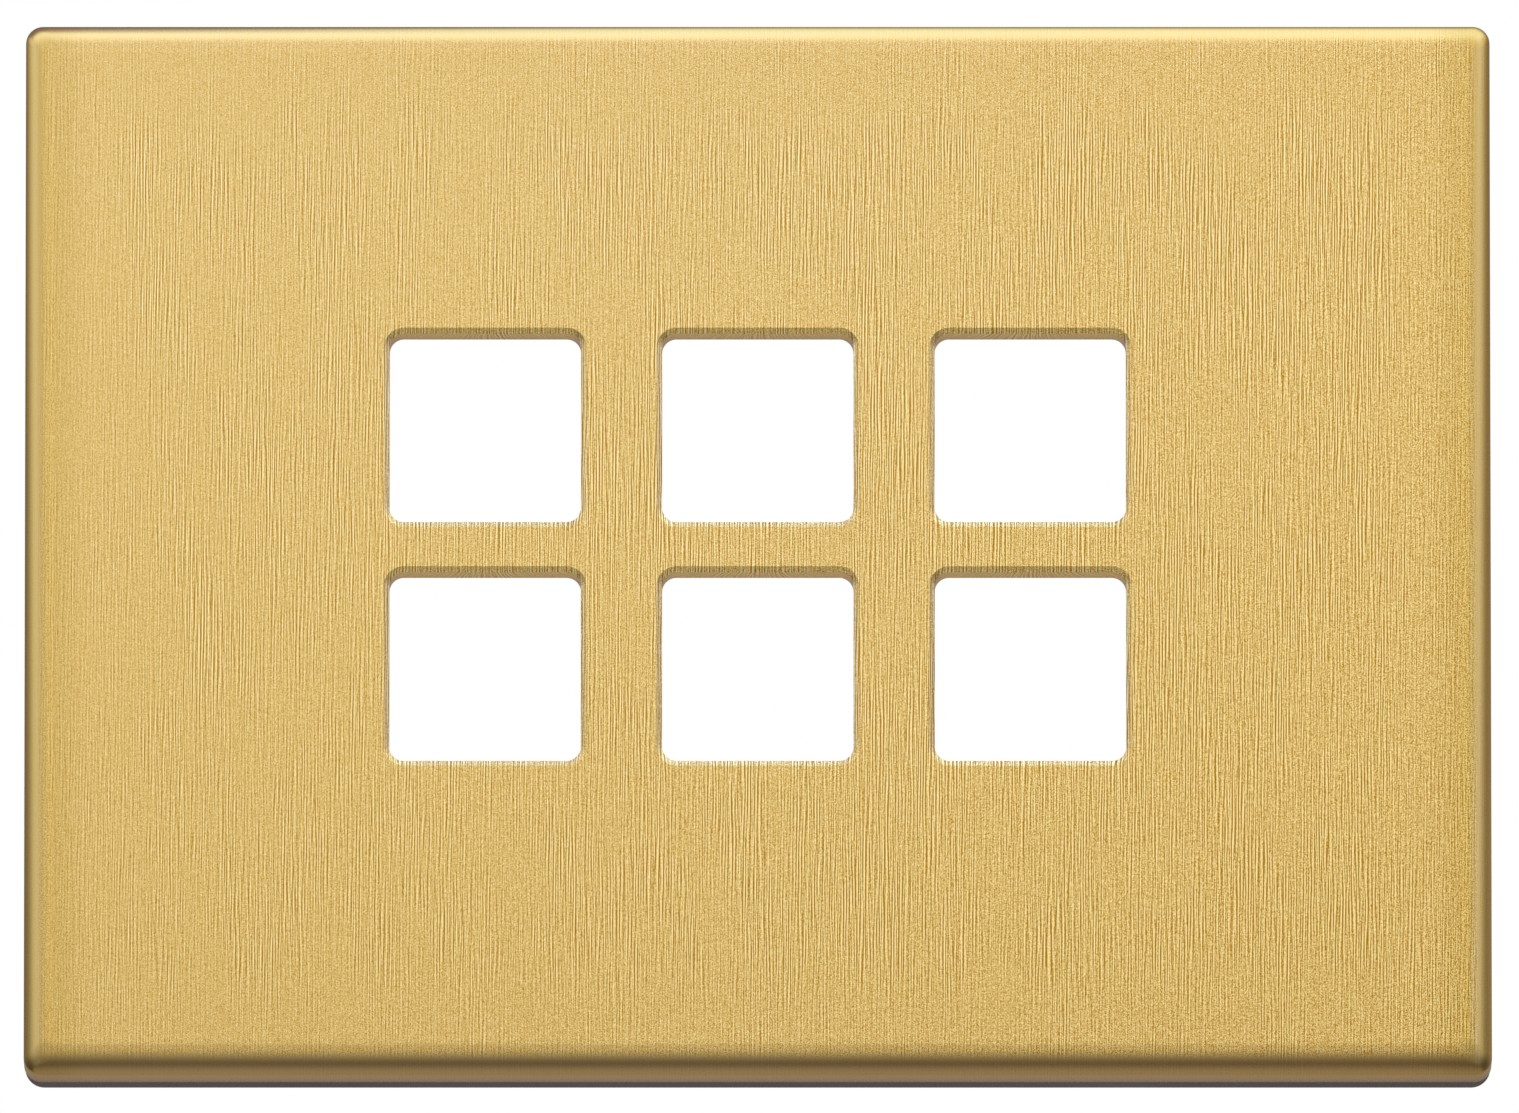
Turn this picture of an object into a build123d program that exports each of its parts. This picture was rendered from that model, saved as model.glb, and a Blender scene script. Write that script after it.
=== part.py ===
from build123d import *
import os

# Screwless switch plate: a brushed brass front with six square openings,
# carried by a moulded clip frame that snaps on to a wall support.
# Sizes are in millimetres. +X is right, +Z is up and +Y points into the wall.
# The origin is the middle of the rear face, which lies against the wall.
# A level is a distance forward from the wall.

# Outside of the plate
plate_width = 121.0
plate_height = 87.8
edge_round = 1.7

# Brass front
skirt_depth = 5.5
face_thickness = 1.8
skirt_wall = 1.6
inner_corner = 1.4
skirt_root_round = 0.5

# Openings, in a grid of columns and rows with bars between them
columns = 3
rows = 2
opening_size = 15.8
opening_corner = 1.2
opening_edge_bevel = 0.45
column_bar = 6.7
row_bar = 4.2
collar_wall = 1.2
collar_height = 1.4

# Clip frame
rim_depth = 3.3
rim_inset = 0.05
rim_corner = 1.6
rim_edge_round = 0.3
frame_wall = 1.6
ledge_thickness = 1.4
window_margin = 1.6
window_corner = 2.0
lip_wall = 1.2
lip_height = 1.2
rib_thickness = 1.0
rib_spacing = 22.5

# Fit of the frame in the brass front
side_clearance = 0.15
face_gap = 0.1

# Snap beads that hold the brass front on the frame
bead_radius = 0.6
bead_engagement = 0.3
bead_length = 10.0
bead_setback = 1.3
bead_spacing = 64.0
bead_clearance = 0.15

# Snap legs that grip the wall support
leg_width = 9.0
leg_thickness = 1.4
leg_spacing = 78.0
leg_flex_gap = 2.6
leg_tip_gap = 0.5
barb_reach = 0.8
barb_lead = 1.2
barb_back = 0.5
slot_margin = 0.6

# Levels, from the wall forward
skirt_level = rim_depth
front_level = skirt_level + skirt_depth
inner_level = front_level - face_thickness
collar_level = inner_level - collar_height
ledge_front = inner_level - face_gap
ledge_rear = ledge_front - ledge_thickness
lip_rear = ledge_rear - lip_height
bead_level = skirt_level + bead_setback

# Grid of openings
column_pitch = opening_size + column_bar
row_pitch = opening_size + row_bar
collar_size = opening_size + 2 * collar_wall
field_width = (columns - 1) * column_pitch + collar_size
field_height = (rows - 1) * row_pitch + collar_size

# Outlines that nest in each other, from the outside in
rim_width = plate_width - 2 * rim_inset
rim_height = plate_height - 2 * rim_inset
hollow_width = plate_width - 2 * skirt_wall
hollow_height = plate_height - 2 * skirt_wall
frame_width = hollow_width - 2 * side_clearance
frame_height = hollow_height - 2 * side_clearance
recess_width = frame_width - 2 * frame_wall
recess_height = frame_height - 2 * frame_wall
window_width = field_width + 2 * window_margin
window_height = field_height + 2 * window_margin
frame_corner = inner_corner - side_clearance
leg_inner = recess_height / 2 - leg_flex_gap - leg_thickness

# A rounding or bevel takes up at most this share of the wall or corner that it runs on
round_share = 0.9
front_round = min(edge_round, round_share * skirt_depth)
half_bar = min(column_bar, row_bar) / 2
opening_bevel = min(opening_edge_bevel, round_share * face_thickness, round_share * half_bar)
root_round = min(skirt_root_round, round_share * frame_corner)
rim_round = min(rim_edge_round, round_share * rim_corner, round_share * rim_depth)


def outline(width, height, corner, level):
    """Rounded rectangle on the plane that lies this far forward from the wall."""
    with BuildSketch(Plane.XZ.offset(level)) as sketch:
        RectangleRounded(width, height, corner)
    return sketch.sketch


def slab(width, height, corner, rear, front):
    """Rounded rectangular block between two levels."""
    return extrude(outline(width, height, corner, rear), front - rear)


def opening_grid(size, corner, rear, front):
    """One block at each opening's place, all of the same size."""
    with BuildSketch(Plane.XZ.offset(rear)) as sketch:
        with GridLocations(column_pitch, row_pitch, columns, rows):
            RectangleRounded(size, size, corner)
    return extrude(sketch.sketch, front - rear)


def bead_row(radius, length):
    """Bars along the frame's outer walls: two on each long side and one on each short side."""
    axis_inset = bead_radius - side_clearance - bead_engagement
    side_x = frame_width / 2 - axis_inset
    side_z = frame_height / 2 - axis_inset
    along_x = (0, 90, 0)
    along_z = (0, 0, 0)
    places = [Location((x, -bead_level, z), along_x)
              for x in (-bead_spacing / 2, bead_spacing / 2) for z in (-side_z, side_z)]
    places += [Location((x, -bead_level, 0), along_z) for x in (-side_x, side_x)]
    return [place * Cylinder(radius, length) for place in places]


def make_front_plate():
    """Shelled brass front with round corners and edges and six bevelled, collared openings."""
    body = Pos(0, -(skirt_level + front_level) / 2, 0) * Box(plate_width, skirt_depth, plate_height)
    front_edges = body.faces().sort_by(Axis.Y)[0].edges()
    body = fillet(front_edges + body.edges().filter_by(Axis.Y), front_round)

    hollow = slab(hollow_width, hollow_height, inner_corner, skirt_level, inner_level)
    hollow = fillet(hollow.faces().sort_by(Axis.Y)[0].edges(), root_round)
    body -= hollow

    body += opening_grid(collar_size, opening_corner + collar_wall, collar_level, inner_level)
    body -= opening_grid(opening_size, opening_corner, collar_level, front_level)
    face = body.faces().sort_by(Axis.Y)[0]
    rims = [edge for wire in face.inner_wires() for edge in wire.edges()]
    body = chamfer(rims, opening_bevel)

    for groove in bead_row(bead_radius + bead_clearance, bead_length + 2 * bead_clearance):
        body -= groove
    return body


def leg_profile():
    """Side view of the upper snap leg: a straight leg with a barb that points to the middle."""
    leg_outer = leg_inner + leg_thickness
    tip = -leg_tip_gap
    crest = tip - barb_lead
    throat = crest - barb_back
    with BuildSketch(Plane.YZ) as sketch:
        with BuildLine():
            Polyline(
                (-ledge_rear, leg_inner),
                (throat, leg_inner),
                (crest, leg_inner - barb_reach),
                (tip, leg_inner),
                (tip, leg_outer),
                (-ledge_rear, leg_outer),
                close=True,
            )
        make_face()
    return sketch.sketch


def snap_legs():
    """Four legs: a pair above the window and the same pair mirrored below it."""
    leg = extrude(leg_profile(), leg_width / 2, both=True)
    upper = [Pos(x, 0, 0) * leg for x in (-leg_spacing / 2, leg_spacing / 2)]
    return upper + [mirror(one, Plane.XY) for one in upper]


def barb_slots():
    """Slots through the ledge in front of the barbs, so that the mould pulls straight out."""
    reach = barb_reach + slot_margin
    level = -(ledge_rear + ledge_front) / 2
    slot = Box(leg_width + 2 * slot_margin, ledge_thickness, reach)
    return [Pos(x, level, z) * slot
            for x in (-leg_spacing / 2, leg_spacing / 2)
            for z in (reach / 2 - leg_inner, leg_inner - reach / 2)]


def ledge_ribs():
    """Ribs across the ledge, from the lip round the window to the frame's wall."""
    lip_half_width = window_width / 2 + lip_wall
    lip_half_height = window_height / 2 + lip_wall
    level = -(ledge_rear + lip_rear) / 2
    side_run = recess_width / 2 - lip_half_width
    upright_run = recess_height / 2 - lip_half_height
    ribs = []
    for way in (-1, 1):
        for step in (-0.5, 0.5):
            place = Pos(way * (lip_half_width + side_run / 2), level, step * rib_spacing)
            ribs.append(place * Box(side_run, lip_height, rib_thickness))
        for step in (-1, 0, 1):
            place = Pos(step * rib_spacing, level, way * (lip_half_height + upright_run / 2))
            ribs.append(place * Box(rib_thickness, lip_height, upright_run))
    return ribs


def make_clip_frame():
    """Moulded frame: a rim behind the brass skirt, a wall inside it and a ledge with a window."""
    rim = slab(rim_width, rim_height, rim_corner, 0, skirt_level)
    body = fillet(rim.faces().sort_by(Axis.Y)[-1].edges(), rim_round)
    wall = slab(frame_width, frame_height, frame_corner, skirt_level, ledge_front)
    body += chamfer(wall.faces().sort_by(Axis.Y)[0].edges(), root_round)
    body -= slab(recess_width, recess_height, inner_corner, 0, ledge_rear)

    lip_corner = window_corner + lip_wall
    body += slab(window_width + 2 * lip_wall, window_height + 2 * lip_wall, lip_corner, lip_rear, ledge_rear)
    body -= slab(window_width, window_height, window_corner, lip_rear, ledge_front)
    for slot in barb_slots():
        body -= slot
    for piece in ledge_ribs() + snap_legs() + bead_row(bead_radius, bead_length):
        body += piece
    return body


os.makedirs("parts", exist_ok=True)
export_step(make_front_plate(), "parts/front_plate.step")
export_step(make_clip_frame(), "parts/clip_frame.step")
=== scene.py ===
import math

import bpy
import numpy as np
from bpy.props import FloatProperty, FloatVectorProperty, IntProperty, PointerProperty
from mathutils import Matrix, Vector


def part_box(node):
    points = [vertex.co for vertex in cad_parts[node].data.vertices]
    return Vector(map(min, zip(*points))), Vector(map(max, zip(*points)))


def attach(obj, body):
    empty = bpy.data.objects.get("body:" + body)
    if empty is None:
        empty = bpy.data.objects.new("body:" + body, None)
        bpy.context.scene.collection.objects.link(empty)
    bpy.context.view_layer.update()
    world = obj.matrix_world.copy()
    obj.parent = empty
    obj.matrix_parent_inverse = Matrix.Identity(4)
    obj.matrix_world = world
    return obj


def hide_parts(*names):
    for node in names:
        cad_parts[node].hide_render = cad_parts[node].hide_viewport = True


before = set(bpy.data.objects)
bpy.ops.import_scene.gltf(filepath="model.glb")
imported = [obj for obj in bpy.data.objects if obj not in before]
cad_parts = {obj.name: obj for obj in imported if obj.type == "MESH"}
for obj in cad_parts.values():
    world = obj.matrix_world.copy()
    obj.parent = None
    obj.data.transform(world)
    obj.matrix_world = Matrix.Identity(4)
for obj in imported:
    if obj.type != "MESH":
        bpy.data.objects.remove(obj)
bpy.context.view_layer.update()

bl_info = {
    "name": "Brushed switch plate",
    "version": (1, 0, 0),
    "blender": (4, 5, 0),
    "location": "3D View > Sidebar > Switch plate",
    "description": "Brushed brass switch plate on a moulded clip frame, with its studio",
    "category": "Add Mesh",
}

# +X is right, +Z is up and +Y points into the wall, in metres. The wall is the plane y = 0.
MM = 0.001
FRONT_LOW, FRONT_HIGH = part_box("front_plate")

# Width of the picture in pixels, and of the camera's sensor in millimetres.
PICTURE_WIDTH = 1519
SENSOR_WIDTH = 36.0
# Depth that the camera sees, as a multiple of its distance.
CLIP_REACH = 10
WHITE = (1.0, 1.0, 1.0, 1.0)

# Finishes of the brass front, as the numbers of its materials.
BRUSHED, SATIN, PUNCHED, MILLED = 0, 1, 2, 3
# The first three in that order: the material's name, its roughness, how far the brushing stretches its
# highlights, and the tint of its reflections at grazing angles.
BRASS_FINISHES = (
    ("brushed_brass", 0.36, 0.75, (1.0, 0.95, 0.72)),
    ("satin_brass", 0.27, 0.2, (0.60, 0.55, 0.50)),
    ("punched_brass", 0.32, 0.5, (0.84, 0.76, 0.60)))

# Points on a side of one cell, and on a quarter turn of a corner.
SIDE_STEPS, TURN_STEPS = 12, 12
# Steps over the rounded front edge, over the rounding at the skirt's root and over a broken edge.
EDGE_STEPS, ROOT_STEPS, BREAK_STEPS = 24, 6, 4
# Fullness of a rounding that is a quarter of a circle.
CIRCLE = 2.0
# Least radius of a corner of the brass laid out flat.
LEAST_CORNER = 0.03 * MM
# Distances from a rounding or a bevel of the two loops that keep the face beside it flat.
NEAR, BESIDE = 0.02 * MM, 0.3 * MM
# Points that round to the same multiple of this length are one.
SAME_POINT = 0.0001 * MM
# Angle between two faces past which the edge between them is sharp.
SHARP_ANGLE = math.radians(28)

# Share of the brushing over the rounded edge, by the share of the way from the face to the skirt.
EDGE_PLACES = (0.0, 0.25, 0.38, 1.0)
EDGE_BRUSHING = (1.0, 0.9, 0.15, 0.12)
# Share of the brushing on the skirt, and on the walls of the openings.
SKIRT_BRUSHING = EDGE_BRUSHING[-1]
WALL_BRUSHING = 1.5

# Brush lines in their sizes: width and length as multiples of the finest line's, their share, and a shift of
# the noise that keeps them apart.
LINE_SIZES = ((1.0, 1.0, 0.9, 0.0), (1.15, 3.0, 0.8, 31.7))
# Distance between a line's crest and its furrows, as a multiple of its width.
FLANK = 1.0
# How far a line lies beyond its neighbour, as a share of its length.
STAGGER = 0.37
# How far the lines waver, the width and length of a wave, and how far the lines lean to the right for each
# step up.
WAVER = 0.12 * MM
WAVE_SIZE = (1.5 * MM, 6.0 * MM)
LEAN = 0.015
# Size of the grain between the lines, and the turns that keep the noise's cells off the plate's own axes.
GRAIN_SIZE = 0.09 * MM
GRAIN_TURN = (0.6, 0.5, 0.7)
# Average of the noise, and the ends that it seldom passes.
NOISE_MEAN = 0.5
NOISE_SPAN = (0.3, 0.7)
# Width and length of the patches where the brush pressed more, a shift of their noise, and the least and
# most pressure in them.
PATCH_SIZE = (5.0 * MM, 14.0 * MM)
PATCH_SHIFT = 5.5
PRESSURE = (0.45, 1.55)
# Strength of the brushing at the left and right ends, and at the lower and upper ends.
ACROSS = (0.6, 1.2)
UPWARDS = (1.12, 0.82)
# Strength of the lines by the distance from the nearest side, as factors that change over a range of
# distances: calm along the sides, bold a little way in, and bold again between the openings.
CALMING = (
    (5.0 * MM, 11.0 * MM, 0.45, 1.0),
    (17.0 * MM, 26.0 * MM, 1.2, 1.08),
    (27.0 * MM, 31.0 * MM, 1.0, 1.18))
# How much rougher than the mean a furrow is, and how much smoother a crest.
ROUGHNESS_SWING = 0.05
# Distances from the short sides at which the painted shade along them starts to fade and ends.
SIDE_SHADE_REACH = (1.8 * MM, 5.8 * MM)
# How far the painted shade reaches from the rear edge of the skirt, darker towards that edge.
REAR_SHADE_REACH = 3.0 * MM
# Strength of the rolling mill's lines in the hidden side, and of the grain and the clouds in the plastic.
MILL_LINES = 0.25
PLASTIC_GRAIN, PLASTIC_CLOUDS = 0.5, 0.6

# Reflected studio: the angle from the front in degrees, and the red, green and blue of the light from there.
# The sweep goes from behind the plate below it, past the front, to behind the plate above it.
SWEEP_STOPS = (
    (-180, 0.62, 0.57, 0.50), (-168, 0.63, 0.57, 0.50), (-150, 0.50, 0.46, 0.46), (-130, 0.41, 0.39, 0.50),
    (-110, 0.36, 0.345, 0.45), (-90, 0.30, 0.285, 0.36), (-61, 0.15, 0.14, 0.185), (-47, 0.20, 0.19, 0.235),
    (-32, 0.385, 0.365, 0.42), (-18, 0.60, 0.575, 0.54), (-6, 0.92, 0.86, 0.73), (6, 1.09, 1.05, 0.89),
    (14, 1.16, 1.19, 1.30), (24, 1.08, 1.10, 1.36), (34, 1.05, 1.06, 1.24), (42, 1.16, 1.19, 1.50),
    (52, 1.44, 1.60, 2.28), (62, 1.46, 1.77, 2.80), (88, 1.37, 1.74, 2.90), (98, 1.37, 1.70, 2.68),
    (108, 1.15, 1.35, 1.70), (120, 0.72, 0.78, 0.95), (134, 0.45, 0.47, 0.54), (180, 0.43, 0.44, 0.48))
LEFT_STOPS = (
    (-176, 0.50, 0.46, 0.55), (-160, 0.40, 0.37, 0.50), (-145, 0.32, 0.30, 0.42), (-120, 0.34, 0.32, 0.37),
    (-102, 0.44, 0.43, 0.47), (-90, 0.64, 0.66, 0.75), (-78, 0.91, 0.97, 1.25), (-64, 1.07, 1.20, 1.70),
    (-54, 0.99, 1.06, 1.42), (-45, 0.77, 0.75, 0.82), (-36, 1.00, 1.00, 1.02), (-24, 1.04, 1.04, 1.04))
RIGHT_STOPS = (
    (24, 1.05, 1.05, 1.10), (34, 0.83, 0.83, 0.88), (45, 0.96, 1.00, 1.30), (57, 1.04, 1.20, 1.98),
    (68, 0.93, 1.00, 1.60), (80, 0.60, 0.58, 0.74), (92, 0.40, 0.38, 0.44), (106, 0.33, 0.32, 0.39),
    (125, 0.41, 0.39, 0.52), (150, 0.52, 0.49, 0.70), (176, 0.62, 0.57, 0.80))
# Dim card behind the plate's upper left, which draws a thin dark line along the top edge.
REAR_STOPS = (
    (74, 1.40, 1.50, 2.20), (86, 0.44, 0.38, 0.62), (106, 0.32, 0.285, 0.50), (176, 0.42, 0.36, 0.70))
# Levels of the side cards above the plate's middle, with their brightness there and their share of the
# angles in the lists above.
SIDE_LEVELS = (-0.40, -0.16, 0.01, 0.10, 0.17)
SIDE_FADE = (0.30, 0.31, 0.95, 1.05, 1.15)
SIDE_SPREAD = (0.80, 0.80, 0.83, 1.14, 1.20)
# Points round the bend of a card.
CARD_STEPS = 361
# How much nearer to the plate than the sweep the rear card and the side cards are.
REAR_GAP, SIDE_GAP = 0.03, 0.06
# Right ends of the rear card, at its first and at its last angle.
REAR_ENDS = (-0.06, 0.02)
# Bounce card: half its width, the places of its front and rear sides, and its level.
BOUNCE_HALF, BOUNCE_FRONT, BOUNCE_REAR, BOUNCE_LEVEL = 0.07, -0.07, -0.014, -0.041
# Softbox: its side, and the place of its middle.
SOFTBOX_SIZE = 0.8
SOFTBOX_PLACE = (-0.3, -0.7, 1.0)
# Half of the floor's side.
FLOOR_HALF = 8.0


class BrassSizes(bpy.types.PropertyGroup):
    """Sizes of the brass front."""

    width: FloatProperty(
        name="Width", description="From the left side to the right side",
        default=FRONT_HIGH.x - FRONT_LOW.x, unit="LENGTH", precision=5)
    height: FloatProperty(
        name="Height", description="From the lower side to the upper side",
        default=FRONT_HIGH.z - FRONT_LOW.z, unit="LENGTH", precision=5)
    depth: FloatProperty(
        name="Depth", description="From the face to the rear edge of the skirt",
        default=FRONT_HIGH.y - FRONT_LOW.y, unit="LENGTH", precision=5)
    corner: FloatProperty(
        name="Corner", description="Radius of the four corners, seen from the front",
        default=1.4 * MM, unit="LENGTH", precision=5)
    face_corner: FloatProperty(
        name="Face corner", description="Radius of the flat face's corners, where the rounded edge begins",
        default=0.9 * MM, unit="LENGTH", precision=5)
    edge_reach: FloatProperty(
        name="Edge reach", description="How far the rounded edge reaches in over the face",
        default=2.4 * MM, unit="LENGTH", precision=5)
    edge_drop: FloatProperty(
        name="Edge drop", description="How far the rounded edge reaches back along the skirt",
        default=1.8 * MM, unit="LENGTH", precision=5)
    edge_fullness: FloatProperty(
        name="Edge fullness",
        description="Two for an ellipse, more for an edge that leaves the face more gently",
        default=2.25, min=1.0, max=6.0)
    face_thickness: FloatProperty(
        name="Face thickness", description="Thickness of the brass behind the face",
        default=1.8 * MM, unit="LENGTH", precision=5)
    skirt_wall: FloatProperty(
        name="Skirt wall", description="Thickness of the skirt",
        default=1.6 * MM, unit="LENGTH", precision=5)
    inner_corner: FloatProperty(
        name="Inner corner", description="Radius of the hollow's corners",
        default=1.4 * MM, unit="LENGTH", precision=5)
    root_round: FloatProperty(
        name="Root rounding", description="Radius between the skirt's inside and the back of the face",
        default=0.5 * MM, unit="LENGTH", precision=5)
    broken_edge: FloatProperty(
        name="Broken edge", description="Radius that takes the sharpness off the rear edges",
        default=0.12 * MM, unit="LENGTH", precision=5)
    columns: IntProperty(name="Columns", description="Openings in a row", default=3, min=1)
    rows: IntProperty(name="Rows", description="Openings in a column", default=2, min=1)
    column_pitch: FloatProperty(
        name="Column pitch", description="Distance between the middles of two columns",
        default=22.5 * MM, unit="LENGTH", precision=5)
    row_pitch: FloatProperty(
        name="Row pitch", description="Distance between the middles of two rows",
        default=20.0 * MM, unit="LENGTH", precision=5)
    opening: FloatProperty(
        name="Opening", description="Side of a square opening",
        default=15.8 * MM, unit="LENGTH", precision=5)
    opening_corner: FloatProperty(
        name="Opening corner", description="Radius of an opening's corners",
        default=1.2 * MM, unit="LENGTH", precision=5)
    bevel: FloatProperty(
        name="Bevel", description="Width of the bevel round an opening, seen from the front",
        default=0.45 * MM, unit="LENGTH", precision=5)
    bevel_slope: FloatProperty(
        name="Bevel slope", description="Angle between the face and the bevel",
        default=math.radians(36), subtype="ANGLE", unit="ROTATION")
    collar_wall: FloatProperty(
        name="Collar wall", description="Thickness of the collar behind an opening",
        default=1.2 * MM, unit="LENGTH", precision=5)
    collar_height: FloatProperty(
        name="Collar height", description="How far the collar stands behind the back of the face",
        default=1.4 * MM, unit="LENGTH", precision=5)


class Finishes(bpy.types.PropertyGroup):
    """Colours and textures of the brass and of the plastic."""

    brass: FloatVectorProperty(
        name="Brass", description="Brushed brass between its lines",
        default=(0.724, 0.500, 0.161), subtype="COLOR", min=0.0, max=1.0)
    # Real brush lines; these two colours paint shade into their furrows and highlight onto their crests.
    brass_furrow_shade: FloatVectorProperty(
        name="Brass valley", description="Brushed brass at the bottom of a deep line",
        default=(0.410, 0.205, 0.000), subtype="COLOR", min=0.0, max=1.0)
    brass_crest_highlight: FloatVectorProperty(
        name="Brass ridge", description="Brushed brass on the crest between two lines",
        default=(0.957, 0.793, 0.400), subtype="COLOR", min=0.0, max=1.0)
    # Painted shade: darker, warmer brass along the two short sides.
    painted_side_shade: FloatVectorProperty(
        name="Painted side shade", description="Tint of the lacquer where it lies thicker, along the two short sides",
        default=(0.900, 0.890, 0.790), subtype="COLOR", min=0.0, max=1.0)
    toning: FloatVectorProperty(
        name="Toning", description="Tint of the brass at its right end, from none at the middle",
        default=(0.995, 0.970, 0.870), subtype="COLOR", min=0.0, max=1.0)
    # Painted shade: the brass darkens towards the rear edge of the skirt.
    painted_rear_shade: FloatVectorProperty(
        name="Painted rear shade", description="Tint of the brass at the rear edge of the skirt",
        default=(0.620, 0.640, 0.620), subtype="COLOR", min=0.0, max=1.0)
    line_width: FloatProperty(
        name="Line width", description="Width of the finest brush lines",
        default=0.11 * MM, unit="LENGTH", precision=6)
    line_length: FloatProperty(
        name="Line length", description="Length of the finest brush lines",
        default=3.0 * MM, unit="LENGTH", precision=5)
    line_contrast: FloatProperty(
        name="Line contrast", description="How strongly the brush lines stand out",
        default=1.0, min=0.0, max=8.0)
    grain_contrast: FloatProperty(
        name="Grain contrast", description="How strongly the grain between the lines stands out",
        default=1.5, min=0.0, max=8.0)
    mill: FloatVectorProperty(
        name="Milled brass", description="Bare brass on the hidden side",
        default=(0.560, 0.400, 0.150), subtype="COLOR", min=0.0, max=1.0)
    plastic: FloatVectorProperty(
        name="Plastic", description="Moulded plastic of the clip frame",
        default=(0.080, 0.064, 0.052), subtype="COLOR", min=0.0, max=1.0)


class Studio(bpy.types.PropertyGroup):
    """Camera and light."""

    elevation: FloatProperty(
        name="Elevation", description="Angle of the camera above the horizon, below it when negative",
        default=math.radians(-10.0), subtype="ANGLE", unit="ROTATION")
    lens: FloatProperty(
        name="Lens", description="Focal length in millimetres, long for a picture without perspective",
        default=1240.0, min=50.0, max=1250.0)
    pixels_per_metre: FloatProperty(
        name="Pixels per metre", description="Scale of the picture at the face", default=12120.0)
    aim_right: FloatProperty(
        name="Aim right", description="How far the picture's middle is to the right of the face's middle",
        default=0.14 * MM, unit="LENGTH", precision=6)
    aim_up: FloatProperty(
        name="Aim up", description="How far the picture's middle is above the face's middle",
        default=-0.83 * MM, unit="LENGTH", precision=6)
    fill: FloatProperty(
        name="Fill", description="Strength of the even light on plain surfaces",
        default=0.6, min=0.0, max=2.0)
    key: FloatProperty(
        name="Key", description="Brightness of the softbox above", default=1.0, min=0.0, max=8.0)
    bounce: FloatProperty(
        name="Bounce", description="Brightness of the card below the openings",
        default=0.57, min=0.0, max=2.0)
    sweep_radius: FloatProperty(
        name="Sweep radius", description="Distance of the reflected sweep from the plate",
        default=0.36, unit="LENGTH")
    sweep_reach: FloatProperty(
        name="Sweep reach", description="How far the reflected sweep goes to either side",
        default=0.45, unit="LENGTH")
    floor_drop: FloatProperty(
        name="Floor drop", description="How far the floor lies below the plate's middle",
        default=1.0, unit="LENGTH")
    floor: FloatVectorProperty(
        name="Floor", description="Pale floor",
        default=(0.86, 0.86, 0.85), subtype="COLOR", min=0.0, max=1.0)


def rounded_loops(half_x, half_z, corner, across, up):
    """Points round rectangles with rounded corners, anticlockwise seen from the front.

    half_x, half_z and corner hold the half sides and the corner radius of each loop, and across and up are
    the steps along the sides. A side is a straight run in even steps. A corner is its centre plus its radius
    times the cosine and sine of an angle that grows by a quarter turn. Returns x and z as arrays of loops by
    points.
    """
    half_x, half_z, corner = half_x[:, None], half_z[:, None], corner[:, None]
    flat_x, flat_z = half_x - corner, half_z - corner
    run_x = flat_x * np.linspace(-1, 1, across, endpoint=False)
    run_z = flat_z * np.linspace(-1, 1, up, endpoint=False)
    angle = np.linspace(0, math.pi / 2, TURN_STEPS, endpoint=False)
    cosine, sine = corner * np.cos(angle), corner * np.sin(angle)
    along_x, along_z = np.zeros_like(run_x), np.zeros_like(run_z)
    x = [run_x, flat_x + sine, half_x + along_z, flat_x + cosine,
         -run_x, -flat_x - sine, -half_x + along_z, -flat_x - cosine]
    z = [-half_z + along_x, -flat_z - cosine, run_z, flat_z + sine,
         half_z + along_x, flat_z + cosine, -run_z, -flat_z - sine]
    return np.concatenate(x, 1), np.concatenate(z, 1)


def rounding(reach, drop, fullness, steps):
    """Profile of a rounded edge, from the level part to the upright part.

    A quarter of a superellipse: the run is the reach times a power of the sine, and the fall is the drop
    times one minus the same power of the cosine, with two over the fullness as that power. Also returns the
    length along the curve, summed over its steps.
    """
    angle = np.linspace(0, math.pi / 2, steps + 1)
    power = 2 / fullness
    run = reach * np.sin(angle) ** power
    fall = drop * (1 - np.cos(angle).clip(0) ** power)
    length = np.concatenate([[0], np.hypot(np.diff(run), np.diff(fall)).cumsum()])
    return run, fall, length


def rings(half, inset, corner, depth, laid=None, brushing=0.0, finish=MILLED):
    """Rows of a skin's profile, each a loop round the piece.

    A row holds the half width and half height of its loop, the corner radius, the depth behind the face, the
    half width, half height and corner of the same loop when the brass is laid out flat, the share of
    brushing, and the finish of the strip that follows. laid is the inset when laid out flat, the plain inset
    if it isn't given.
    """
    inset, corner, depth, brushing = np.broadcast_arrays(*np.atleast_1d(inset, corner, depth, brushing))
    laid = np.broadcast_to(inset if laid is None else laid, inset.shape)
    flat_corner = np.maximum(corner + inset - laid, LEAST_CORNER)
    finish = np.broadcast_to(np.asarray(finish, float), inset.shape)
    return np.stack([half[0] - inset, half[1] - inset, np.maximum(corner, 0.0), depth,
                     half[0] - laid, half[1] - laid, flat_corner, brushing, finish], 1)


def square(half, depth, brushing, finish):
    """A row with sharp corners, where two skins meet on the face or on its back."""
    return np.array([[*half, 0.0, depth, *half, 0.0, brushing, finish]])


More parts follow.
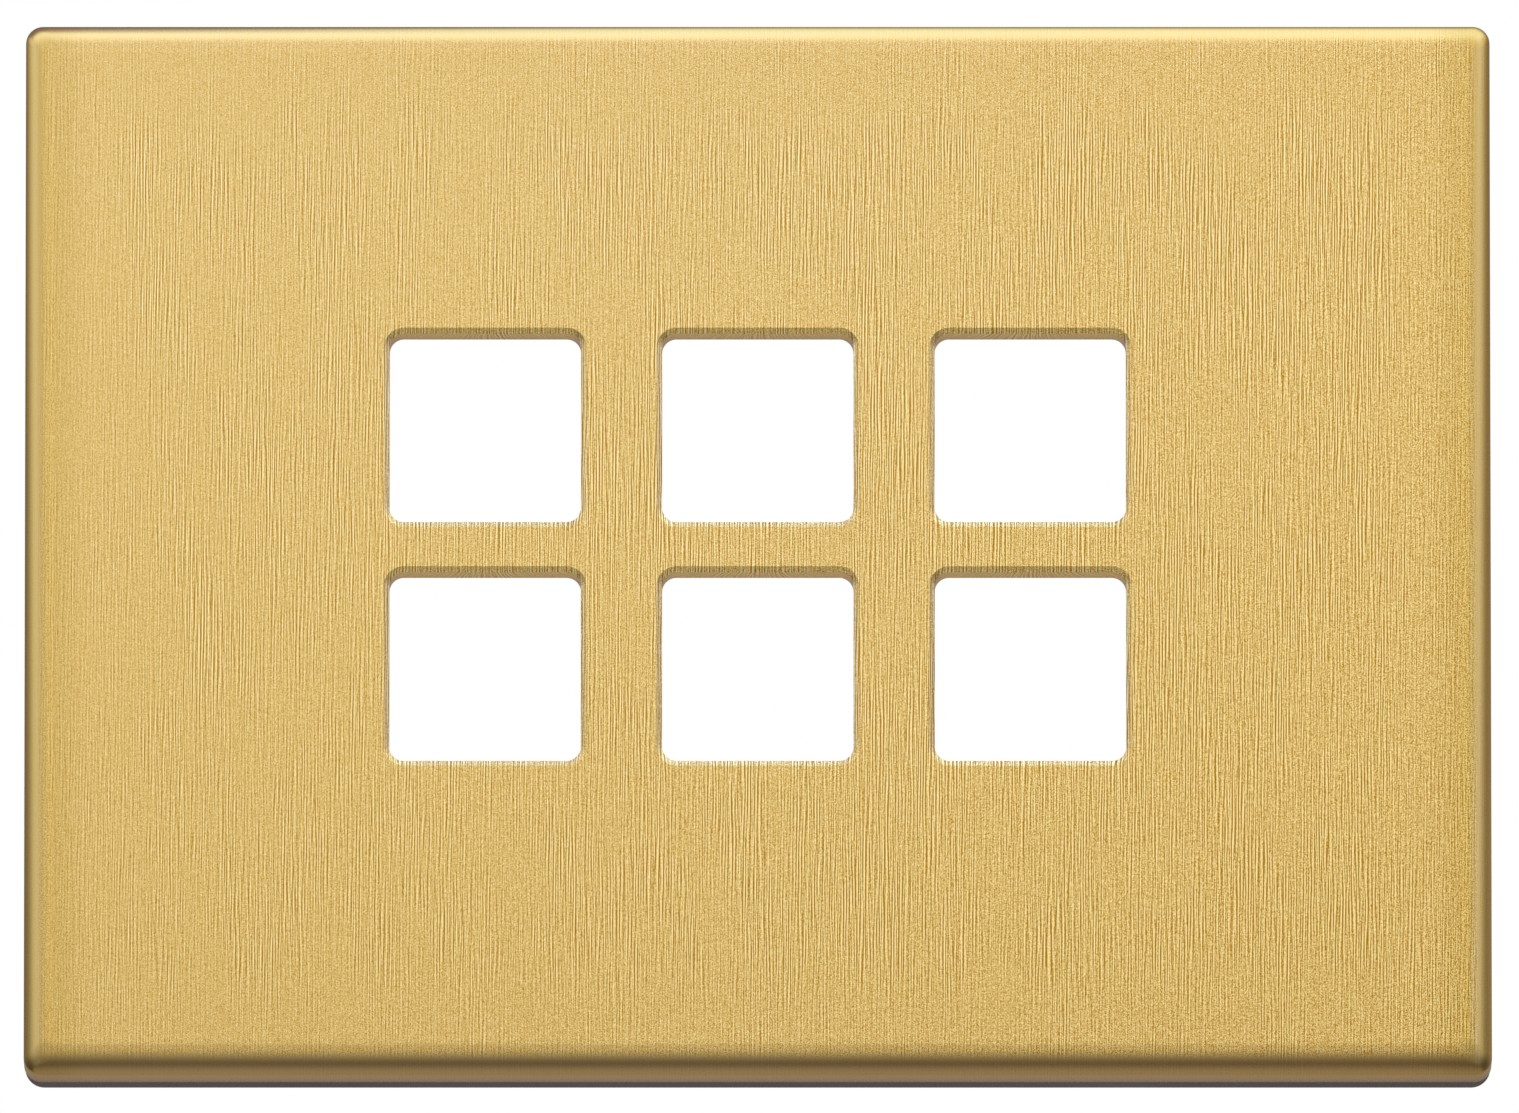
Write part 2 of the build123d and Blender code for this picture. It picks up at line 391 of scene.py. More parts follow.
def frame_rings(sizes):
    """Skin outside the cells: back of the face, skirt inside, rear edge, skirt outside, front edge, face."""
    half = (sizes.width / 2, sizes.height / 2)
    field = (sizes.columns * sizes.column_pitch / 2, sizes.rows * sizes.row_pitch / 2)
    rear = sizes.depth - sizes.broken_edge

    run, fall, _ = rounding(sizes.root_round, sizes.root_round, CIRCLE, ROOT_STEPS)
    root_inset = sizes.skirt_wall + sizes.root_round
    root_corner = sizes.inner_corner - sizes.root_round
    back = rings(half, root_inset + np.array([BESIDE, NEAR]), root_corner, sizes.face_thickness)
    root = rings(half, root_inset - run, root_corner + run, sizes.face_thickness + fall)

    reach, drop, length = rounding(sizes.edge_reach, sizes.edge_drop, sizes.edge_fullness, EDGE_STEPS)
    skirt_length = length[-1] + rear - sizes.edge_drop - sizes.edge_reach
    run, fall, _ = rounding(sizes.broken_edge, sizes.broken_edge, CIRCLE, BREAK_STEPS)
    inner_edge = rings(half, sizes.skirt_wall - fall, sizes.inner_corner + fall, rear + run)
    outer_edge = rings(half, fall[::-1], sizes.corner - fall[::-1], rear + run[::-1],
                       laid=-skirt_length, brushing=SKIRT_BRUSHING, finish=SATIN)

    inset = sizes.edge_reach - reach[::-1]
    corner = sizes.corner + (sizes.face_corner - sizes.corner) * inset / sizes.edge_reach
    brushing = np.interp(length / length[-1], EDGE_PLACES, EDGE_BRUSHING)
    edge = rings(half, inset, corner, drop[::-1],
                 laid=sizes.edge_reach - length[::-1], brushing=brushing[::-1], finish=SATIN)
    face = rings(half, sizes.edge_reach + np.array([NEAR, BESIDE]), sizes.face_corner, 0.0,
                 brushing=1.0, finish=BRUSHED)
    return np.concatenate([
        square(field, sizes.face_thickness, 0.0, MILLED),
        back, root, inner_edge, outer_edge, edge, face,
        square(field, 0.0, 1.0, BRUSHED)])


def cell_rings(sizes):
    """Skin of one cell: face, bevel of the opening, its wall, the collar behind it, back of the face."""
    half = (sizes.opening / 2, sizes.opening / 2)
    cell = (sizes.column_pitch / 2, sizes.row_pitch / 2)
    rear = sizes.face_thickness + sizes.collar_height - sizes.broken_edge

    beside = -sizes.bevel - np.array([BESIDE, NEAR])
    face = rings(half, beside, sizes.opening_corner - beside, 0.0, brushing=1.0, finish=BRUSHED)
    drop = sizes.bevel * math.tan(sizes.bevel_slope)
    length = sizes.bevel / math.cos(sizes.bevel_slope)
    inset = np.array([-sizes.bevel, 0.0])
    bevel = rings(half, inset, sizes.opening_corner - inset, [0.0, drop],
                  laid=inset + [0.0, length - sizes.bevel],
                  brushing=[1.0, WALL_BRUSHING], finish=[BRUSHED, PUNCHED])

    wall_length = length - sizes.bevel + rear - drop
    run, fall, _ = rounding(sizes.broken_edge, sizes.broken_edge, CIRCLE, BREAK_STEPS)
    wall_end = rings(half, -fall, sizes.opening_corner + fall, rear + run,
                     laid=wall_length, brushing=WALL_BRUSHING, finish=PUNCHED)
    collar_corner = sizes.opening_corner + sizes.collar_wall
    collar = rings(half, fall[::-1] - sizes.collar_wall, collar_corner - fall[::-1], rear + run[::-1])
    foot = rings(half, -sizes.collar_wall - np.array([0.0, BESIDE]), collar_corner, sizes.face_thickness)
    return np.concatenate([
        square(cell, 0.0, 1.0, BRUSHED),
        face, bevel, wall_end, collar, foot,
        square(cell, sizes.face_thickness, 0.0, MILLED)])


def skin(rows, centre, across, up):
    """Carry the rows of a profile round a centre on the face.

    Loops run anticlockwise seen from the front, and the rows run inwards over the front, so every face
    points out of the brass. Returns the points, their places when laid out flat, their brushing, the quads
    between neighbouring loops and the quads' finishes.
    """
    half_x, half_z, corner, depth, laid_x, laid_z, laid_corner, brushing, finish = rows.T
    x, z = rounded_loops(half_x, half_z, corner, across, up)
    u, v = rounded_loops(laid_x, laid_z, laid_corner, across, up)
    y = np.broadcast_to((FRONT_LOW.y + depth)[:, None], x.shape)
    points = np.stack([x + centre[0], y, z + centre[1]], 2).reshape(-1, 3)
    flat = np.stack([u + centre[0], v + centre[1]], 2).reshape(-1, 2)
    index = np.arange(x.size).reshape(x.shape)
    near, far = index[:-1], index[1:]
    quads = np.stack([near, np.roll(near, -1, 1), np.roll(far, -1, 1), far], 2).reshape(-1, 4)
    around = x.shape[1]
    return points, flat, np.repeat(brushing, around), quads, np.repeat(finish[:-1], around).astype(np.int32)


def joined_mesh(name, skins):
    """Join skins into one closed mesh.

    Points that coincide become one. A quad that loses a side is then a triangle, and one that loses more is
    left out.
    """
    starts = np.cumsum([0] + [len(part[0]) for part in skins[:-1]])
    points, flat, brushing = (np.concatenate([part[i] for part in skins]) for i in range(3))
    quads = np.concatenate([part[3] + start for part, start in zip(skins, starts)])
    finish = np.concatenate([part[4] for part in skins])
    _, first, joined = np.unique(np.round(points / SAME_POINT).astype(np.int64), axis=0,
                                 return_index=True, return_inverse=True)
    quads = joined.reshape(-1)[quads]
    doubled = quads == np.roll(quads, -1, 1)
    whole, single = ~doubled.any(1), doubled.sum(1) == 1
    triangles = quads[single][~doubled[single]].reshape(-1, 3)

    mesh = bpy.data.meshes.new(name)
    mesh.from_pydata(points[first], [], quads[whole].tolist() + triangles.tolist())
    mesh.polygons.foreach_set("material_index", np.concatenate([finish[whole], finish[single]]))
    mesh.shade_smooth()
    mesh.set_sharp_from_angle(angle=SHARP_ANGLE)
    corners = np.empty(len(mesh.loops), np.int32)
    mesh.loops.foreach_get("vertex_index", corners)
    mesh.uv_layers.new(name="laid_flat").uv.foreach_set("vector", flat[first][corners].ravel())
    mesh.attributes.new("brushing", "FLOAT", "POINT").data.foreach_set("value", brushing[first])
    mesh.update()
    return mesh


def brass_mesh(sizes):
    """Brass front: one skin round a field of cells, and one skin with an opening for each cell."""
    skins = [skin(frame_rings(sizes), (0.0, 0.0), sizes.columns * SIDE_STEPS, sizes.rows * SIDE_STEPS)]
    cell = cell_rings(sizes)
    for column in range(sizes.columns):
        for row in range(sizes.rows):
            x = (column + 0.5 - sizes.columns / 2) * sizes.column_pitch
            z = (row + 0.5 - sizes.rows / 2) * sizes.row_pitch
            skins.append(skin(cell, (x, z), SIDE_STEPS, SIDE_STEPS))
    return joined_mesh("brass_front", skins)


def connect(tree, node, inputs):
    """Give each named input of a node a value or another node's output."""
    for name, value in dict(inputs).items():
        if isinstance(value, bpy.types.NodeSocket):
            tree.links.new(value, node.inputs[name])
        else:
            node.inputs[name].default_value = value


def put(tree, kind, inputs=(), **settings):
    """Add a node with its settings and its inputs."""
    made = tree.nodes.new(kind)
    for name, value in settings.items():
        setattr(made, name, value)
    connect(tree, made, inputs)
    return made


def maths(tree, operation, *values):
    """Output of a Math node."""
    return put(tree, "ShaderNodeMath", enumerate(values), operation=operation).outputs[0]


def remap(tree, value, low, high, new_low, new_high, smooth=False):
    """Output of a Map Range node, held between its ends."""
    ranges = {"Value": value, "From Min": low, "From Max": high, "To Min": new_low, "To Max": new_high}
    kind = "SMOOTHSTEP" if smooth else "LINEAR"
    return put(tree, "ShaderNodeMapRange", ranges, interpolation_type=kind).outputs["Result"]


def noise(tree, vector, dimensions="3D", scale=1.0, detail=0.0):
    """Output of a Noise Texture, one half on average."""
    inputs = {"Vector": vector, "Scale": scale, "Detail": detail}
    return put(tree, "ShaderNodeTexNoise", inputs, noise_dimensions=dimensions).outputs["Fac"]


def add_swing(tree, value, pattern, share):
    """Value plus a share of a pattern's swing about the noise's average."""
    return maths(tree, "MULTIPLY_ADD", maths(tree, "SUBTRACT", pattern, NOISE_MEAN), share, value)


def inset_from(tree, place, length):
    """Distance inwards from the nearer end of a length that is centred on the plate's middle."""
    return maths(tree, "SUBTRACT", length / 2, maths(tree, "ABSOLUTE", place))


def relief_normal(tree, height, strength, depth):
    """Normal of a fine relief of this depth, whose height goes from nought to one."""
    inputs = {"Height": height, "Strength": strength, "Distance": depth}
    return put(tree, "ShaderNodeBump", inputs).outputs["Normal"]


def ramp(tree, value, stops):
    """Colour of a value between stops, which are pairs of place and colour."""
    made = put(tree, "ShaderNodeValToRGB", {"Fac": value})
    elements = made.color_ramp.elements
    while len(elements) < len(stops):
        elements.new(0.5)
    for element, (place, colour) in zip(elements, stops):
        element.position = place
        element.color = (*colour, 1.0)
    return made.outputs["Color"]


def shades(colour, dark, light, spread):
    """Stops from a darker to a lighter shade of a colour, which itself lies at one half."""
    darker = tuple(dark * part for part in colour)
    lighter = tuple(light * part for part in colour)
    return [(0.5 - spread, darker), (0.5, colour), (0.5 + spread, lighter)]


def tinted(tree, share, colour, tint):
    """Colour times a tint, as far as the share from nought to one says."""
    # A Mix node's inputs 0, 6 and 7 are its share and its two colours, and its output 2 is the mixed colour.
    inputs = {0: share, 6: colour, 7: (*tint, 1.0)}
    return put(tree, "ShaderNodeMix", inputs, data_type="RGBA", blend_type="MULTIPLY").outputs[2]


def new_group(name, inputs, outputs):
    """Empty shader group. An input is a name, a kind and a default, and an output is a name of a value."""
    tree = bpy.data.node_groups.new(name, "ShaderNodeTree")
    for label, kind, default in inputs:
        socket = tree.interface.new_socket(label, in_out="INPUT", socket_type=kind)
        if default is not None:
            socket.default_value = default
    for label in outputs:
        tree.interface.new_socket(label, in_out="OUTPUT", socket_type="NodeSocketFloat")
    return tree, tree.nodes.new("NodeGroupInput").outputs, tree.nodes.new("NodeGroupOutput").inputs


def stretched(tree, across, along, width, length, shift=0.0):
    """Coordinates in which a line of this width and length is one unit across and one unit along.

    The second coordinate also grows by the stagger from line to line, so that lines don't end side by side.
    """
    place = maths(tree, "ADD", maths(tree, "DIVIDE", across, width), shift)
    run = maths(tree, "MULTIPLY_ADD", place, STAGGER, maths(tree, "DIVIDE", along, length))
    return put(tree, "ShaderNodeCombineXYZ", {"X": place, "Y": run}).outputs[0]


def brush_lines_group():
    """Group for brush lines: noise that is stretched along the second coordinate, in short and long lines.

    Each line is a crest with a furrow on either side: noise at a place, less half of the same noise one step
    to the left and half of it one step to the right. The lines lean a little, and the coordinate across them
    wavers with slow noise, so that none is quite straight. Lines: all the lines together, nought on average.
    Heaviness: broad patches where the brush pressed more, one half on average.
    """
    tree, given, wanted = new_group(
        "Brush lines",
        [("Vector", "NodeSocketVector", None), ("Width", "NodeSocketFloat", 0.1 * MM),
         ("Length", "NodeSocketFloat", 2.0 * MM), ("Waver", "NodeSocketFloat", 0.1 * MM)],
        ["Lines", "Heaviness"])
    side, along, _ = put(tree, "ShaderNodeSeparateXYZ", {0: given["Vector"]}).outputs
    slow = noise(tree, stretched(tree, side, along, *WAVE_SIZE), "2D", detail=1.0)
    across = add_swing(tree, maths(tree, "MULTIPLY_ADD", along, -LEAN, side), slow, given["Waver"])
    total = 0.0
    for size, stretch, share, shift in LINE_SIZES:
        width = maths(tree, "MULTIPLY", given["Width"], size)
        length = maths(tree, "MULTIPLY", given["Length"], stretch)
        for step, weight in ((-FLANK, -share / 2), (0.0, share), (FLANK, -share / 2)):
            place = stretched(tree, across, along, width, length, shift + step)
            total = maths(tree, "MULTIPLY_ADD", noise(tree, place, "2D"), weight, total)
    tree.links.new(total, wanted["Lines"])
    patches = noise(tree, stretched(tree, side, along, *PATCH_SIZE, PATCH_SHIFT), "2D", detail=2.0)
    tree.links.new(patches, wanted["Heaviness"])
    return tree


def grain_group():
    """Group for grain without direction: Grain is fine and Clouds is broad noise, one half on average."""
    tree, given, wanted = new_group(
        "Fine grain",
        [("Vector", "NodeSocketVector", None), ("Size", "NodeSocketFloat", 0.1 * MM),
         ("Cloud Size", "NodeSocketFloat", 10.0 * MM)],
        ["Grain", "Clouds"])
    for output, size, detail in (("Grain", "Size", 0.0), ("Clouds", "Cloud Size", 2.0)):
        scale = maths(tree, "DIVIDE", 1.0, given[size])
        scaled = put(tree, "ShaderNodeVectorMath", {0: given["Vector"], "Scale": scale}, operation="SCALE")
        turned = put(tree, "ShaderNodeVectorRotate", {"Vector": scaled.outputs[0], "Rotation": GRAIN_TURN},
                     rotation_type="EULER_XYZ")
        tree.links.new(noise(tree, turned.outputs[0], detail=detail), wanted[output])
    return tree


def shared_groups():
    """The two shader groups, made once for all the materials."""
    groups = bpy.data.node_groups
    return groups.get("Brush lines") or brush_lines_group(), groups.get("Fine grain") or grain_group()


def new_material(name, shader_kind="ShaderNodeBsdfPrincipled"):
    """Material with one shader on its output."""
    material = bpy.data.materials.new(name)
    material.use_nodes = True
    tree = material.node_tree
    tree.nodes.clear()
    shader = tree.nodes.new(shader_kind)
    put(tree, "ShaderNodeOutputMaterial", {"Surface": shader.outputs[0]})
    return material, tree, shader


def brush_marks(tree, finishes, sizes, flat):
    """Height of the brushed brass, one half on average, lower in a furrow and higher on a crest.

    It is one half plus the strength of the brushing at a place times the sum of lines and grain there. The
    lines are scaled by the pressure of the brush, which changes from patch to patch and is less along the
    sides.
    """
    brush, grain = shared_groups()
    line_inputs = {
        "Vector": flat, "Width": finishes.line_width, "Length": finishes.line_length, "Waver": WAVER}
    lines = put(tree, "ShaderNodeGroup", line_inputs, node_tree=brush).outputs
    specks = put(tree, "ShaderNodeGroup", {"Vector": flat, "Size": GRAIN_SIZE}, node_tree=grain).outputs
    across, up, _ = put(tree, "ShaderNodeSeparateXYZ", {0: flat}).outputs

    border = maths(tree, "MINIMUM",
                   inset_from(tree, across, sizes.width), inset_from(tree, up, sizes.height))
    pressure = remap(tree, lines["Heaviness"], *NOISE_SPAN, *PRESSURE)
    pressure = maths(tree, "MULTIPLY", pressure, finishes.line_contrast)
    for change in CALMING:
        pressure = maths(tree, "MULTIPLY", pressure, remap(tree, border, *change, smooth=True))
    marks = maths(tree, "MULTIPLY", lines["Lines"], pressure)
    marks = add_swing(tree, marks, specks["Grain"], finishes.grain_contrast)

    strength = maths(tree, "MULTIPLY",
                     remap(tree, across, -sizes.width / 2, sizes.width / 2, *ACROSS),
                     remap(tree, up, -sizes.height / 2, sizes.height / 2, *UPWARDS))
    brushing = put(tree, "ShaderNodeAttribute", attribute_name="brushing").outputs["Fac"]
    strength = maths(tree, "MULTIPLY", strength, brushing)
    return maths(tree, "MULTIPLY_ADD", marks, strength, 0.5)


def brushed_colour(tree, finishes, sizes, flat, marks):
    """Colour of the brushed brass by its marks, tinted by toning and by painted shade at sides and rear."""
    # Real brush lines, whose dark furrows and bright crests are painted shade and painted highlight.
    colour = ramp(tree, marks, [
        (0.0, finishes.brass_furrow_shade), (0.5, finishes.brass), (1.0, finishes.brass_crest_highlight)])
    across = put(tree, "ShaderNodeSeparateXYZ", {0: flat}).outputs["X"]
    right = remap(tree, across, 0.0, sizes.width / 2, 0.0, 1.0)
    colour = tinted(tree, right, colour, finishes.toning)
    # Painted shade: darker, warmer brass along the two short sides.
    shadier = remap(tree, inset_from(tree, across, sizes.width), *SIDE_SHADE_REACH, 1.0, 0.0, smooth=True)
    colour = tinted(tree, shadier, colour, finishes.painted_side_shade)
    # Painted shade: the brass darkens towards the rear edge of the skirt.
    place = put(tree, "ShaderNodeTexCoord").outputs["Object"]
    back = put(tree, "ShaderNodeSeparateXYZ", {0: place}).outputs["Y"]
    rear = FRONT_LOW.y + sizes.depth
    return tinted(tree, remap(tree, back, rear - REAR_SHADE_REACH, rear, 0.0, 1.0), colour, finishes.painted_rear_shade)


def brushed_brass(finishes, sizes, name, roughness, anisotropy, edge_tint):
    """Lacquered brass, brushed upright: its colour, roughness and fine relief follow the brush marks."""
    material, tree, shader = new_material(name)
    flat = put(tree, "ShaderNodeUVMap", uv_map="laid_flat").outputs["UV"]
    tangent = put(tree, "ShaderNodeTangent", direction_type="UV_MAP", uv_map="laid_flat")
    marks = brush_marks(tree, finishes, sizes, flat)
    furrow, crest = roughness + ROUGHNESS_SWING, roughness - ROUGHNESS_SWING
    connect(tree, shader, {
        "Base Color": brushed_colour(tree, finishes, sizes, flat, marks),
        "Metallic": 1.0,
        "Roughness": remap(tree, marks, 0.0, 1.0, furrow, crest),
        "Anisotropic": anisotropy,
        "Specular Tint": (*edge_tint, 1.0),
        "Tangent": tangent.outputs[0],
        "Normal": relief_normal(tree, marks, strength=0.12, depth=0.02 * MM)})
    return material


def milled_brass(finishes):
    """Bare brass of the hidden side: lines from the rolling mill under cloudy oxide."""
    brush, grain = shared_groups()
    material, tree, shader = new_material("milled_brass")
    place = put(tree, "ShaderNodeTexCoord").outputs["Object"]
    upright = put(tree, "ShaderNodeMapping", {"Vector": place, "Rotation": (math.pi / 2, 0.0, 0.0)})
    line_inputs = {"Vector": upright.outputs[0], "Width": 0.25 * MM, "Length": 12 * MM, "Waver": 0.05 * MM}
    lines = put(tree, "ShaderNodeGroup", line_inputs, node_tree=brush).outputs
    speck_inputs = {"Vector": place, "Size": 0.15 * MM, "Cloud Size": 9 * MM}
    specks = put(tree, "ShaderNodeGroup", speck_inputs, node_tree=grain).outputs
    marks = maths(tree, "MULTIPLY_ADD", lines["Lines"], MILL_LINES, specks["Clouds"])
    connect(tree, shader, {
        "Base Color": ramp(tree, marks, shades(finishes.mill, dark=0.62, light=1.2, spread=0.25)),
        "Metallic": 1.0,
        "Roughness": remap(tree, marks, 0.25, 0.75, 0.55, 0.38),
        "Normal": relief_normal(tree, specks["Grain"], strength=0.1, depth=0.02 * MM)})
    return material


def moulded_plastic(finishes):
    """Grey moulded plastic: a fine eroded grain, with faint clouds in its colour and its gloss."""
    _, grain = shared_groups()
    material, tree, shader = new_material("grey_plastic")
    place = put(tree, "ShaderNodeTexCoord").outputs["Object"]
    speck_inputs = {"Vector": place, "Size": 0.2 * MM, "Cloud Size": 15 * MM}
    specks = put(tree, "ShaderNodeGroup", speck_inputs, node_tree=grain).outputs
    mottle = add_swing(tree, NOISE_MEAN, specks["Grain"], PLASTIC_GRAIN)
    mottle = add_swing(tree, mottle, specks["Clouds"], PLASTIC_CLOUDS)
    connect(tree, shader, {
        "Base Color": ramp(tree, mottle, shades(finishes.plastic, dark=0.8, light=1.2, spread=0.2)),
        "Roughness": remap(tree, specks["Clouds"], *NOISE_SPAN, 0.52, 0.64),
        "Specular IOR Level": 0.35,
        "Normal": relief_normal(tree, specks["Grain"], strength=0.35, depth=0.03 * MM)})
    return material


def link_object(name, data):
    """New object in the scene."""
    made = bpy.data.objects.new(name, data)
    bpy.context.scene.collection.objects.link(made)
    return made


def card(name, points, quads, glow, material):
    """Studio card that only reflections see, with a colour of glow for each point."""
    mesh = bpy.data.meshes.new(name)
    mesh.from_pydata(points, [], quads)
    colours = np.column_stack([glow, np.ones(len(glow))])
    mesh.attributes.new("glow", "FLOAT_COLOR", "POINT").data.foreach_set("color", colours.ravel())
    mesh.materials.append(material)
    made = link_object(name, mesh)
    made.visible_camera = made.visible_diffuse = made.visible_shadow = False


def curved_card(name, material, radius, stops, first, last, upright=False, fade=1.0, spread=1.0):
    """Card bent round an axis through the plate, which is upright or goes from left to right.

    A point is the radius times the sine and cosine of an angle from the front, carried along the axis. The
    light's colour runs straight from stop to stop. first and last hold places along the axis at the first
    and at the last angle, and each place runs straight between them. fade scales the colour, and spread the
    angle, at each place.
    """
    degrees, *colours = np.array(stops).T
    turn = np.linspace(degrees[0], degrees[-1], CARD_STEPS)
    glow = np.stack([np.interp(turn, degrees, colour) for colour in colours], 1)
    axis = np.linspace(first, last, len(turn))
    fade = np.broadcast_to(fade, axis.shape)
    angle = np.radians(turn[:, None] * np.broadcast_to(spread, axis.shape))
    side, front = radius * np.sin(angle), -radius * np.cos(angle)
    points = np.stack([side, front, axis] if upright else [axis, front, side], 2).reshape(-1, 3)
    index = np.arange(axis.size).reshape(axis.shape)
    quads = np.stack([index[:-1, :-1], index[:-1, 1:], index[1:, 1:], index[1:, :-1]], 2).reshape(-1, 4)
    card(name, points, quads.tolist(), (glow[:, None] * fade[:, :, None]).reshape(-1, 3), material)


def level_corners(half_width, front, rear, level):
    """Corners of a level rectangle, anticlockwise seen from above."""
    return [(-half_width, front, level), (half_width, front, level),
            (half_width, rear, level), (-half_width, rear, level)]


def bounce_card(material, brightness):
    """Level card in front of the plate, whose light the upper edges of the openings pick up."""
    corners = level_corners(BOUNCE_HALF, BOUNCE_FRONT, BOUNCE_REAR, BOUNCE_LEVEL)
    card("bounce_card", corners, [range(4)], np.full((4, 3), brightness), material)


def card_glow():
    """Glow of a studio card, as its points say.

    Reflections find the cards by themselves, so Cycles doesn't sample them as lamps.
    """
    material, tree, shader = new_material("card_glow", "ShaderNodeEmission")
    glow = put(tree, "ShaderNodeAttribute", attribute_name="glow")
    tree.links.new(glow.outputs["Color"], shader.inputs["Color"])
    material.cycles.emission_sampling = "NONE"
    return material


def seen_rays(tree):
    """One for rays that show a background: straight from the camera, mirrored or through glass."""
    path = put(tree, "ShaderNodeLightPath").outputs
    shown = maths(tree, "MAXIMUM", path["Is Camera Ray"], path["Is Glossy Ray"])
    return maths(tree, "MAXIMUM", shown, path["Is Transmission Ray"])


def pale_floor(drop, colour):
    """Wide pale floor that shows white to the camera and in reflections."""
    material, tree, mixed = new_material("pale_floor", "ShaderNodeMixShader")
    matt = put(tree, "ShaderNodeBsdfPrincipled", {"Base Color": (*colour, 1.0), "Roughness": 0.9})
    white = put(tree, "ShaderNodeEmission", {"Color": WHITE, "Strength": 1.0})
    connect(tree, mixed, {0: seen_rays(tree), 1: matt.outputs[0], 2: white.outputs[0]})
    mesh = bpy.data.meshes.new("floor")
    mesh.from_pydata(level_corners(FLOOR_HALF, -FLOOR_HALF, FLOOR_HALF, -drop), [], [range(4)])
    mesh.materials.append(material)
    link_object("floor", mesh)


def white_room(fill):
    """World that shows plain white and lights matt surfaces with an even fill."""
    world = bpy.data.worlds.new("white_room")
    world.use_nodes = True
    tree = world.node_tree
    tree.nodes.clear()
    light = put(tree, "ShaderNodeBackground", {"Color": WHITE, "Strength": fill})
    white = put(tree, "ShaderNodeBackground", {"Color": WHITE, "Strength": 1.0})
    mixed = put(tree, "ShaderNodeMixShader", {0: seen_rays(tree), 1: light.outputs[0], 2: white.outputs[0]})
    put(tree, "ShaderNodeOutputWorld", {"Surface": mixed.outputs[0]})
    bpy.context.scene.world = world


def key_softbox(brightness):
    """Square softbox above and in front, for matt surfaces. Mirrored rays see the sweep in its place.

    Its power is its brightness times pi times its area.
    """
    lamp = bpy.data.lights.new("key_softbox", "AREA")
    lamp.size = SOFTBOX_SIZE
    lamp.energy = brightness * math.pi * lamp.size ** 2
    made = link_object("key_softbox", lamp)
    made.location = SOFTBOX_PLACE
    made.rotation_euler = (-made.location).to_track_quat("-Z", "Y").to_euler()
    made.visible_camera = made.visible_glossy = False


def picture_camera(studio):
    """Long-lens camera whose picture has the given scale at the face and the given middle."""
    data = bpy.data.cameras.new("picture_camera")
    data.sensor_width = SENSOR_WIDTH
    data.lens = studio.lens
    distance = PICTURE_WIDTH / studio.pixels_per_metre * studio.lens / SENSOR_WIDTH
    data.clip_end = CLIP_REACH * distance
    made = link_object("picture_camera", data)
    away = Vector((0.0, -math.cos(studio.elevation), math.sin(studio.elevation)))
    upwards = Vector((0.0, math.sin(studio.elevation), math.cos(studio.elevation)))
    middle = Vector((studio.aim_right, FRONT_LOW.y, 0.0)) + upwards * studio.aim_up
    made.location = middle + away * distance
    made.rotation_euler = (-away).to_track_quat("-Z", "Y").to_euler()
    bpy.context.scene.camera = made


class SWITCHPLATE_OT_brass_front(bpy.types.Operator):
    """Make the brushed brass front in place of its solid"""

    bl_idname = "switch_plate.brass_front"
    bl_label = "Brass front"

    def execute(self, context):
        sizes, finishes = context.scene.switch_plate_sizes, context.scene.switch_plate_finishes
        piece = link_object("brass_front", brass_mesh(sizes))
        for finish in BRASS_FINISHES:
            piece.data.materials.append(brushed_brass(finishes, sizes, *finish))
        piece.data.materials.append(milled_brass(finishes))
        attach(piece, "root")
        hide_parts("front_plate")
        return {"FINISHED"}


class SWITCHPLATE_OT_clip_frame(bpy.types.Operator):
    """Give the moulded clip frame its plastic"""

    bl_idname = "switch_plate.clip_frame"
    bl_label = "Clip frame"

    def execute(self, context):
        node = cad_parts["clip_frame"]
        node.data.materials.clear()
        node.data.materials.append(moulded_plastic(context.scene.switch_plate_finishes))
        return {"FINISHED"}


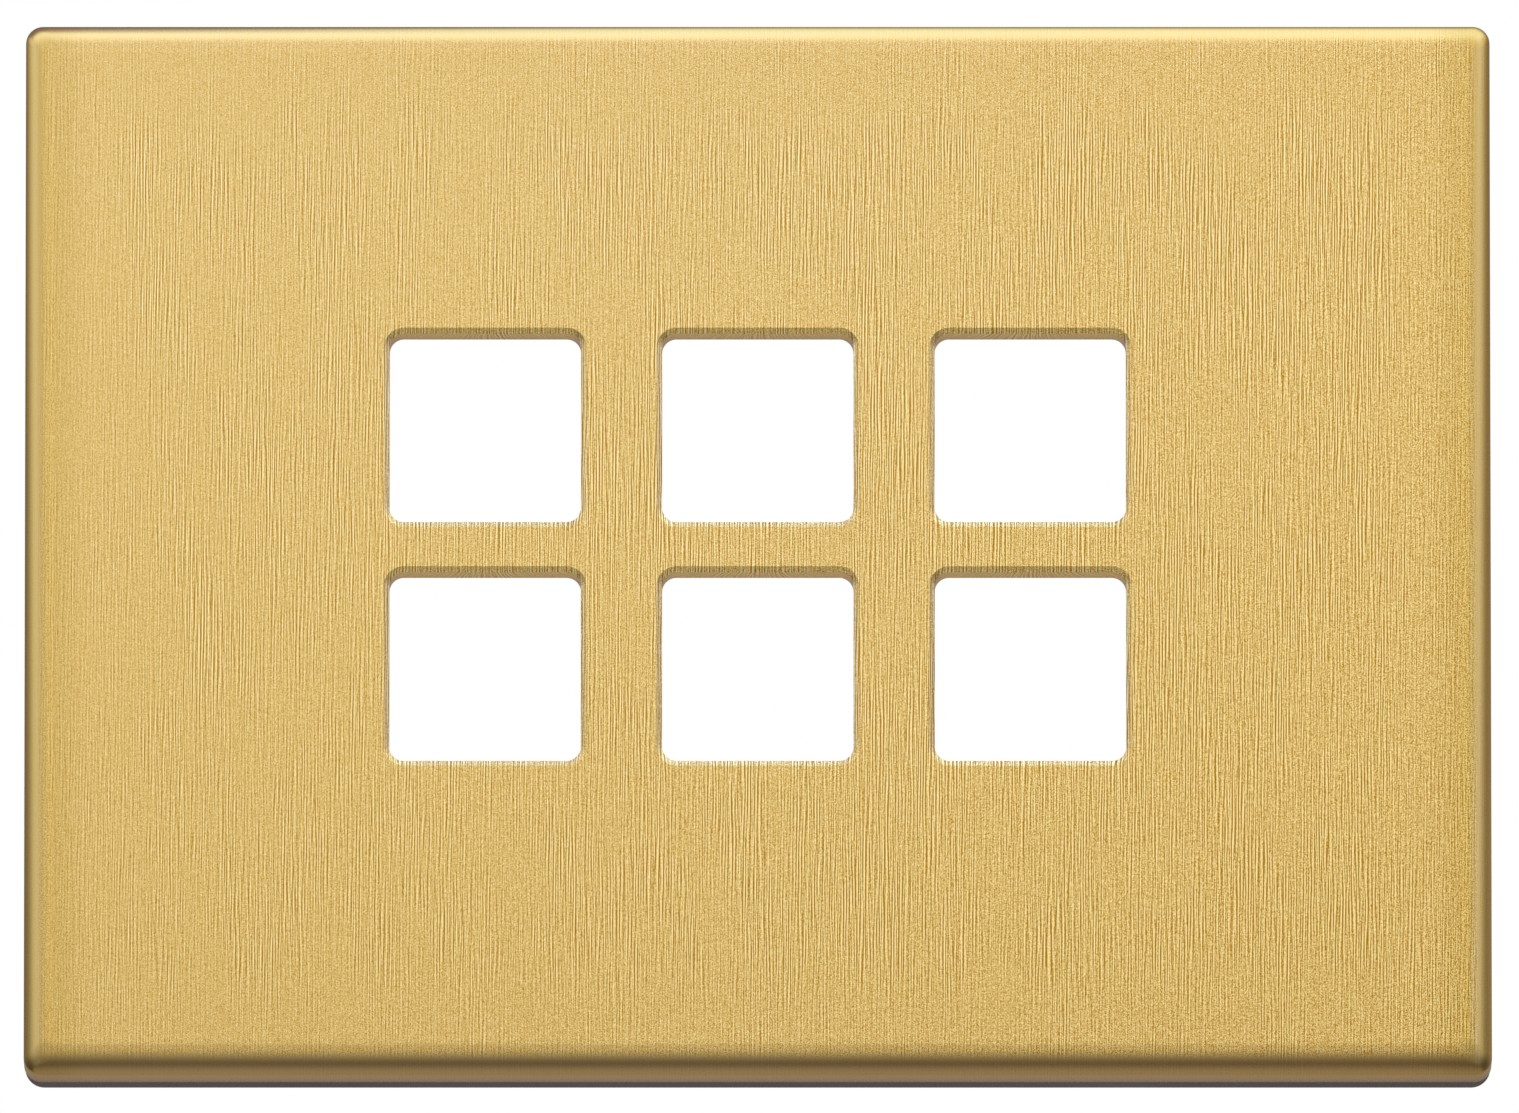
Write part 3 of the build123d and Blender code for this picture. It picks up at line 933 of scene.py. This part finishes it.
class SWITCHPLATE_OT_studio(bpy.types.Operator):
    """Set up the floor, the light, the reflected cards and the camera"""

    bl_idname = "switch_plate.studio"
    bl_label = "Studio"

    def execute(self, context):
        studio = context.scene.switch_plate_studio
        context.scene.view_settings.view_transform = "Standard"
        white_room(studio.fill)
        pale_floor(studio.floor_drop, studio.floor)
        key_softbox(studio.key)
        glow = card_glow()
        radius, reach = studio.sweep_radius, studio.sweep_reach
        ends = (-reach, reach)
        curved_card("sweep", glow, radius, SWEEP_STOPS, ends, ends)
        rear_ends = [(-reach, right) for right in REAR_ENDS]
        curved_card("rear_left_card", glow, radius - REAR_GAP, REAR_STOPS, *rear_ends)
        for name, stops in (("left_card", LEFT_STOPS), ("right_card", RIGHT_STOPS)):
            curved_card(name, glow, radius - SIDE_GAP, stops, SIDE_LEVELS, SIDE_LEVELS,
                        upright=True, fade=SIDE_FADE, spread=SIDE_SPREAD)
        bounce_card(glow, studio.bounce)
        picture_camera(studio)
        return {"FINISHED"}


class SWITCHPLATE_PT_panel(bpy.types.Panel):
    """Sizes, finishes and studio of the switch plate"""

    bl_idname = "SWITCHPLATE_PT_panel"
    bl_label = "Switch plate"
    bl_space_type = "VIEW_3D"
    bl_region_type = "UI"
    bl_category = "Switch plate"

    def draw(self, context):
        for name, kind in GROUPS.items():
            box = self.layout.box()
            box.label(text=kind.__doc__)
            for setting in kind.__annotations__:
                box.prop(getattr(context.scene, name), setting)
        for step in OPERATORS:
            self.layout.operator(step.bl_idname)


GROUPS = {
    "switch_plate_sizes": BrassSizes,
    "switch_plate_finishes": Finishes,
    "switch_plate_studio": Studio,
}
OPERATORS = (SWITCHPLATE_OT_brass_front, SWITCHPLATE_OT_clip_frame, SWITCHPLATE_OT_studio)
CLASSES = (*GROUPS.values(), *OPERATORS, SWITCHPLATE_PT_panel)


def register():
    """Add the classes, and their settings to every scene."""
    for kind in CLASSES:
        bpy.utils.register_class(kind)
    for name, kind in GROUPS.items():
        setattr(bpy.types.Scene, name, PointerProperty(type=kind))


def unregister():
    """Take the settings and the classes away again."""
    for name in GROUPS:
        delattr(bpy.types.Scene, name)
    for kind in reversed(CLASSES):
        bpy.utils.unregister_class(kind)


def main():
    """Make the plate and its studio."""
    register()
    bpy.ops.switch_plate.brass_front()
    bpy.ops.switch_plate.clip_frame()
    bpy.ops.switch_plate.studio()


if __name__ == "__main__":
    main()
